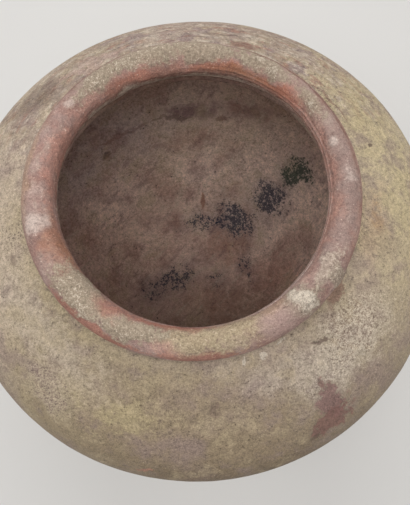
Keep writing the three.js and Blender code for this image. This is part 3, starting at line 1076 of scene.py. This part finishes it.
    def _inside(self, fields: SurfaceFields) -> Socket:
        """Colour of the stained inside."""
        write = fields.writer
        finish = self.inside
        broad = write.noise(fields.place, 14.0, 5.0, 0.6)
        colour = write.blend(write.ramp(broad, 0.42, 0.6), paint(finish.ground), paint(finish.cloud))
        colour = self._lay(fields, colour, finish.marks)
        mottle = write.noise(fields.place, 55.0, 6.0, 0.66)
        colour = write.blend(write.ramp(mottle, 0.46, 0.68, 0.0, 0.45), colour, paint(finish.dusk))
        colour = write.blend(write.ramp(mottle, 0.5, 0.34, 0.0, 0.5), colour, paint(finish.moss))
        colour = write.blend(write.ramp(fields.cloud, 0.44, 0.66, 0.0, 0.5), colour, paint(finish.rust))
        colour = write.blend(write.ramp(fields.turned, 0.52, 0.68, 0.0, 0.3), colour, paint(finish.dust))
        swept = write.add("ShaderNodeVectorRotate", rotation_type="Z_AXIS")
        write.feed(swept.inputs["Vector"], fields.place)
        swept.inputs["Angle"].default_value = math.radians(self.SCRAPE_TURN)
        scrapes = write.noise(write.vector("MULTIPLY", swept.outputs[0], self.SCRAPE_SCALE), 1.0, 4.0, 0.6)
        colour = write.blend(write.ramp(scrapes, 0.56, 0.68, 0.0, 0.45), colour, paint(finish.dust))
        colour = write.blend(write.ramp(scrapes, 0.44, 0.34, 0.0, 0.35), colour, paint(finish.dusk))
        colour = self._scatter(fields, colour, finish.stains, self.STAINS)
        return self._shade(fields, colour, (fields.grit, -0.9), (fields.grain, -1.7), (fields.fleck, -0.9), (fields.turned, 0.3))

    def _roughness(self, fields: SurfaceFields, on_lip: Socket, within: Socket) -> Socket:
        """Roughness of the three zones, varied by the noises."""
        write = fields.writer
        glazed = write.ramp(fields.cloud, 0.35, 0.65, self.glaze.roughness - 0.1, self.glaze.roughness + 0.12)
        gain = self.lip.roughness - self.glaze.roughness
        rough = write.math("MULTIPLY_ADD", on_lip, gain, glazed)
        rough = write.math("MULTIPLY_ADD", within, self.inside.roughness - self.lip.roughness, rough)
        return write.math("MULTIPLY_ADD", fields.grain, 0.12, rough, clamp=True)

    def _bump(self, fields: SurfaceFields) -> Socket:
        """Fine grain, pits and scratches of the surface."""
        write = fields.writer
        pits = write.ramp(fields.grain, 0.58, 0.7, 0.0, -0.4)
        height = write.math("MULTIPLY_ADD", fields.grain, -0.6, pits)
        height = write.math("MULTIPLY_ADD", fields.grit, -0.7, height)
        height = write.math("MULTIPLY_ADD", fields.fleck, 1.2, height)
        height = write.math("MULTIPLY_ADD", fields.turned, 0.4, height)
        node = write.add("ShaderNodeBump")
        node.inputs["Strength"].default_value = 0.7
        node.inputs["Distance"].default_value = 0.0006
        write.feed(node.inputs["Height"], height)
        return node.outputs[0]


@dataclass
class ThrownJar:
    """The jar itself, turned from its profile and worked over as a hand-thrown, worn piece is."""

    sizes: JarSizes = JarSizes()
    rows: RowCounts = RowCounts()
    columns: int = 500
    seed: int = 7
    lip_drift: float = 0.5
    lip_drift_at: float = 144.0
    lip_oval: float = 0.4
    throat_drift: float = 0.5
    throat_drift_at: float = 20.0
    throat_trefoil: float = 0.6
    throat_trefoil_at: float = 34.0
    lip_blend: float = 14.0
    lump_height: float = 0.9
    ring_height: float = 0.28
    ridge_height: float = 0.22
    crust_height: float = 1.0
    wear_height: float = 1.1
    profile: JarProfile = field(init=False)
    skin: JarSkin = field(init=False)

    def __post_init__(self) -> None:
        """Draws the profile that the mesh and the finish share."""
        self.profile = JarProfile(self.sizes, self.rows)
        self.skin = JarSkin(self.profile)

    def build(self) -> bpy.types.Object:
        """Turns the profile into the finished mesh.

        Returns:
            The jar as a plain mesh object at the origin.
        """
        mesh = bpy.data.meshes.new("jar_profile")
        count = len(self.profile.points)
        line = [(float(r), 0.0, float(z)) for r, z in self.profile.points]
        mesh.from_pydata(line, [(i, i + 1) for i in range(count - 1)], [])
        attribute = mesh.attributes.new(ALONG, "FLOAT", "POINT")
        attribute.data.foreach_set("value", self.profile.along.astype(np.float32))
        jar = bpy.data.objects.new("jar", mesh)
        bpy.context.scene.collection.objects.link(jar)
        tree, inputs = self._tree()
        modifier = jar.modifiers.new("turned", "NODES")
        modifier.node_group = tree
        values = {
            "Columns": self.columns,
            "Seed": float(self.seed),
            "Lip drift": self.lip_drift * MM,
            "Lip oval": self.lip_oval * MM,
            "Throat drift": self.throat_drift * MM,
            "Throat trefoil": self.throat_trefoil * MM,
            "Lump height": self.lump_height * MM,
            "Ring height": self.ring_height * MM,
            "Ridge height": self.ridge_height * MM,
            "Crust height": self.crust_height * MM,
            "Wear height": self.wear_height * MM,
            "Skin": self.skin.build(),
        }
        for name, value in values.items():
            modifier[inputs[name]] = value
        graph = bpy.context.evaluated_depsgraph_get()
        turned = bpy.data.meshes.new_from_object(jar.evaluated_get(graph), depsgraph=graph)
        jar.modifiers.remove(modifier)
        jar.data = turned
        turned.name = "jar"
        bpy.data.meshes.remove(mesh)
        return jar

    def dress(self, jar: bpy.types.Object) -> None:
        """Ties the jar to the frame in place of its plain solid."""
        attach(jar, "root")
        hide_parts("vase")

    def _tree(self) -> tuple[bpy.types.NodeTree, dict[str, str]]:
        """Builds the tree that turns and works the profile.

        Returns:
            The tree, and each input's identifier by name.
        """
        tree = bpy.data.node_groups.new("turned_jar", "GeometryNodeTree")
        kinds = {"Geometry": "NodeSocketGeometry", "Columns": "NodeSocketInt", "Skin": "NodeSocketMaterial"}
        names = ["Geometry", "Columns", "Seed", "Lip drift", "Lip oval", "Throat drift", "Throat trefoil"]
        names += ["Lump height", "Ring height", "Ridge height", "Crust height", "Wear height", "Skin"]
        inputs = {}
        for name in names:
            kind = kinds.get(name, "NodeSocketFloat")
            inputs[name] = tree.interface.new_socket(name, in_out="INPUT", socket_type=kind).identifier
        tree.interface.new_socket("Geometry", in_out="OUTPUT", socket_type="NodeSocketGeometry")
        write = NodeWriter(tree)
        given = write.add("NodeGroupInput").outputs
        turned, along = self._turn(write, given)
        worked = self._work(write, given, turned, along)
        smooth = write.add("GeometryNodeSetShadeSmooth")
        real = write.add("GeometryNodeRealizeInstances")
        skin = write.add("GeometryNodeSetMaterial")
        end = write.add("NodeGroupOutput")
        write.feed(smooth.inputs["Geometry"], worked)
        write.feed(real.inputs["Geometry"], smooth.outputs[0])
        write.feed(skin.inputs["Geometry"], real.outputs[0])
        write.feed(skin.inputs["Material"], given["Skin"])
        write.feed(end.inputs[0], skin.outputs[0])
        return tree, inputs

    def _turn(self, write: NodeWriter, given: Given) -> tuple[Socket, Socket]:
        """Wraps a grid round the axis, one row for each point of the profile.

        Args:
            write: the tree's writer.
            given: the tree's inputs.

        Returns:
            The closed turned mesh, and the distance along the profile as a field.
        """
        line = given["Geometry"]
        size = write.add("GeometryNodeAttributeDomainSize", component="MESH")
        write.feed(size.inputs["Geometry"], line)
        ring = write.math("ADD", given["Columns"], 1.0)
        grid = write.add("GeometryNodeMeshGrid")
        write.feed(grid.inputs["Vertices X"], size.outputs["Point Count"])
        write.feed(grid.inputs["Vertices Y"], ring)
        index = write.add("GeometryNodeInputIndex").outputs[0]
        row = write.math("FLOOR", write.math("DIVIDE", write.math("ADD", index, 0.5), ring))
        column = write.math("SUBTRACT", index, write.math("MULTIPLY", row, ring))
        angle = write.math("MULTIPLY", write.math("DIVIDE", column, given["Columns"]), -2 * math.pi)
        spot = write.add("GeometryNodeSampleIndex", data_type="FLOAT_VECTOR", domain="POINT")
        write.feed(spot.inputs["Geometry"], line)
        write.feed(spot.inputs["Value"], write.add("GeometryNodeInputPosition").outputs[0])
        write.feed(spot.inputs["Index"], row)
        named = write.add("GeometryNodeInputNamedAttribute", data_type="FLOAT")
        named.inputs["Name"].default_value = ALONG
        reach = write.add("GeometryNodeSampleIndex", data_type="FLOAT", domain="POINT")
        write.feed(reach.inputs["Geometry"], line)
        write.feed(reach.inputs["Value"], named.outputs[0])
        write.feed(reach.inputs["Index"], row)
        store = write.add("GeometryNodeStoreNamedAttribute", data_type="FLOAT", domain="POINT")
        write.feed(store.inputs["Geometry"], grid.outputs["Mesh"])
        store.inputs["Name"].default_value = ALONG
        write.feed(store.inputs["Value"], reach.outputs[0])
        radius, _, level = write.split(spot.outputs[0])
        push = self._uneven(write, given, radius, level, angle)
        wide = write.math("ADD", radius, push)
        place = write.combine(
            write.math("MULTIPLY", wide, write.math("COSINE", angle)),
            write.math("MULTIPLY", wide, write.math("SINE", angle)),
            level,
        )
        move = write.add("GeometryNodeSetPosition")
        write.feed(move.inputs["Geometry"], store.outputs[0])
        write.feed(move.inputs["Position"], place)
        merge = write.add("GeometryNodeMergeByDistance")
        write.feed(merge.inputs["Geometry"], move.outputs[0])
        merge.inputs["Distance"].default_value = 0.00001
        along = write.add("GeometryNodeInputNamedAttribute", data_type="FLOAT")
        along.inputs["Name"].default_value = ALONG
        return merge.outputs[0], along.outputs[0]

    def _uneven(
        self, write: NodeWriter, given: Given, radius: Socket, level: Socket, angle: Socket
    ) -> Socket:
        """Works out how far the hand-thrown lip strays from a true ring.

        Args:
            write: the tree's writer.
            given: the tree's inputs.
            radius: radius on the profile.
            level: height on the profile.
            angle: azimuth.

        Returns:
            The push outwards, in metres.
        """
        foot = (self.sizes.height - self.sizes.lip_height) * MM
        share = write.ramp(level, foot - self.lip_blend * MM, foot)
        outward = write.ramp(radius, self.sizes.throat_radius * MM, self.sizes.lip_radius * MM)

        def swing(size: Socket, times: int, middle: float) -> Socket:
            """Adds one cosine round the lip."""
            turn = write.math("MULTIPLY_ADD", angle, float(times), -times * math.radians(middle))
            return write.math("MULTIPLY", size, write.math("COSINE", turn))

        lip = write.math(
            "ADD", swing(given["Lip drift"], 1, self.lip_drift_at), swing(given["Lip oval"], 2, self.lip_drift_at)
        )
        throat = write.math(
            "ADD",
            swing(given["Throat drift"], 1, self.throat_drift_at),
            swing(given["Throat trefoil"], 3, self.throat_trefoil_at),
        )
        apart = write.math("SUBTRACT", lip, throat)
        return write.math("MULTIPLY", share, write.math("MULTIPLY_ADD", apart, outward, throat))

    def _work(
        self, write: NodeWriter, given: Given, turned: Socket, along: Socket
    ) -> Socket:
        """Gives the turned mesh its relief: lumps, throwing rings, crusts and worn places.

        Args:
            write: the tree's writer.
            given: the tree's inputs.
            turned: the turned mesh.
            along: distance along the profile.

        Returns:
            The worked mesh.
        """
        place = write.add("GeometryNodeInputPosition").outputs[0]
        fields = SurfaceFields(write, place, along)
        lumps = write.noise(place, 16.0, 3.0, 0.5, given["Seed"])
        height = write.math("MULTIPLY", write.math("SUBTRACT", lumps, 0.5), given["Lump height"])
        wave = write.math("MULTIPLY_ADD", along, 2 * math.pi / 0.0065, write.math("MULTIPLY", fields.cloud, 9.0))
        start = self.profile.begin("throat")
        depth = write.ramp(along, start, start + 0.02, 0.25, 1.0)
        rings = write.math("MULTIPLY", write.math("SINE", wave), write.math("MULTIPLY", depth, given["Ring height"]))
        base = write.ramp(along, self.profile.begin("foot"), self.profile.begin("wall") + 0.01)
        height = write.math("MULTIPLY", write.math("ADD", height, rings), base)
        groove = self.profile.begin("groove")
        share = write.ramp(along, groove - 0.012, groove + 0.004, 0.35, 1.0)
        worn = write.math("MULTIPLY", write.math("SUBTRACT", fields.ragged, 0.5), given["Wear height"])
        height = write.math("MULTIPLY_ADD", worn, write.math("MULTIPLY", share, base), height)
        edge = [self.profile.locate(Face.LIP, level)[0] for level in (138, 160, 205, 225)]
        ledge = write.math("MULTIPLY", write.ramp(along, edge[0], edge[1]), write.ramp(along, edge[3], edge[2]))
        ridges = write.math("MULTIPLY", fields.ridges, given["Ridge height"])
        height = write.math("MULTIPLY_ADD", ridges, ledge, height)
        for mark in self._raised():
            mask = mark.patch.mask(fields, self.profile, mark.height)
            height = write.math("MULTIPLY_ADD", mask, given["Crust height"], height)
        normal = write.add("GeometryNodeInputNormal").outputs[0]
        node = write.add("ShaderNodeVectorMath", operation="SCALE")
        write.feed(node.inputs["Vector"], normal)
        write.feed(node.inputs["Scale"], height)
        move = write.add("GeometryNodeSetPosition")
        write.feed(move.inputs["Geometry"], turned)
        write.feed(move.inputs["Offset"], node.outputs[0])
        return move.outputs[0]

    def _raised(self) -> list[Mark]:
        """Marks that stand proud of the surface or lie below it."""
        finish = self.skin
        lip = finish.lip
        groups = (finish.glaze.marks, finish.glaze.bare, lip.coat, lip.shed_and_rim_shade, lip.flakes, finish.inside.marks)
        return [mark for group in groups for mark in group if mark.height]


@dataclass(frozen=True)
class Softbox:
    """Square soft light: its name, watts, side and place in metres."""

    name: str
    power: float
    side: float
    place: tuple[float, float, float]


@dataclass
class Studio:
    """Pale floor, soft lights and the camera."""

    floor_hue: Hue = Hue.PALE_FLOOR
    floor_half: float = 30.0
    world_strength: float = 0.22
    lights: tuple[Softbox, ...] = (
        Softbox("key", 13.7, 1.25, (-0.1, -0.45, 1.5)),
        Softbox("back", 8.6, 1.0, (0.0, 1.2, 0.9)),
        Softbox("left", 2.8, 1.0, (-1.0, 0.1, 1.1)),
        Softbox("right", 3.2, 1.0, (1.0, 0.1, 1.1)),
    )
    light_aim: tuple[float, float, float] = (0.0, 0.0, 0.18)
    camera_place: tuple[float, float, float] = (0.0, -0.0859, 0.3923)
    camera_aim: tuple[float, float, float] = (0.0038, -0.0043, 0.1)
    camera_roll: float = -3.86
    focal_pixels: float = 480.0
    long_pixels: float = 505.0

    def build_floor(self) -> bpy.types.Object:
        """Lays the pale floor.

        Returns:
            The floor.
        """
        half = self.floor_half
        mesh = bpy.data.meshes.new("floor")
        corners = [(-half, -half, 0.0), (half, -half, 0.0), (half, half, 0.0), (-half, half, 0.0)]
        mesh.from_pydata(corners, [], [(0, 1, 2, 3)])
        material = bpy.data.materials.new("pale_floor")
        material.use_nodes = True
        shader = material.node_tree.nodes["Principled BSDF"]
        shader.inputs["Base Color"].default_value = paint(self.floor_hue)
        shader.inputs["Roughness"].default_value = 0.7
        mesh.materials.append(material)
        floor = bpy.data.objects.new("floor", mesh)
        bpy.context.scene.collection.objects.link(floor)
        return floor

    def build_lights(self) -> None:
        """Hangs the soft lights and sets the even surrounding light."""
        world = bpy.data.worlds.new("studio")
        world.use_nodes = True
        ground = world.node_tree.nodes["Background"]
        ground.inputs["Color"].default_value = (1.0, 0.995, 0.985, 1.0)
        ground.inputs["Strength"].default_value = self.world_strength
        scene = bpy.context.scene
        scene.world = world
        scene.view_settings.view_transform = "Standard"
        for box in self.lights:
            light = bpy.data.lights.new(box.name, "AREA")
            light.energy = box.power
            light.size = box.side
            lamp = bpy.data.objects.new(box.name, light)
            lamp.matrix_world = self._facing(box.place, self.light_aim)
            scene.collection.objects.link(lamp)

    @staticmethod
    def _facing(place: tuple[float, ...], aim: tuple[float, ...], roll: float = 0.0) -> Matrix:
        """Places a camera or a light.

        Args:
            place: where it is.
            aim: the point it faces.
            roll: its turn about that line, in degrees.

        Returns:
            Its world matrix.
        """
        turn = (Vector(aim) - Vector(place)).to_track_quat("-Z", "Y").to_matrix().to_4x4()
        return Matrix.Translation(place) @ turn @ Matrix.Rotation(math.radians(roll), 4, "Z")

    def build_camera(self) -> bpy.types.Object:
        """Sets the camera where the jar is looked into from above.

        Returns:
            The camera.
        """
        data = bpy.data.cameras.new("camera")
        data.sensor_width = 36.0
        data.lens = self.focal_pixels / self.long_pixels * data.sensor_width
        data.clip_start = 0.01
        camera = bpy.data.objects.new("camera", data)
        camera.matrix_world = self._facing(self.camera_place, self.camera_aim, self.camera_roll)
        bpy.context.scene.collection.objects.link(camera)
        bpy.context.scene.camera = camera
        return camera


def main() -> None:
    """Builds the jar and the studio in order."""
    logging.basicConfig(level=logging.INFO, format="%(name)s: %(message)s")
    studio = Studio()
    studio.build_camera()
    studio.build_floor()
    studio.build_lights()
    thrown = ThrownJar()
    jar = thrown.build()
    thrown.dress(jar)
    LOG.info("jar: %d vertices, %d faces", len(jar.data.vertices), len(jar.data.polygons))


if __name__ == "__main__":
    main()
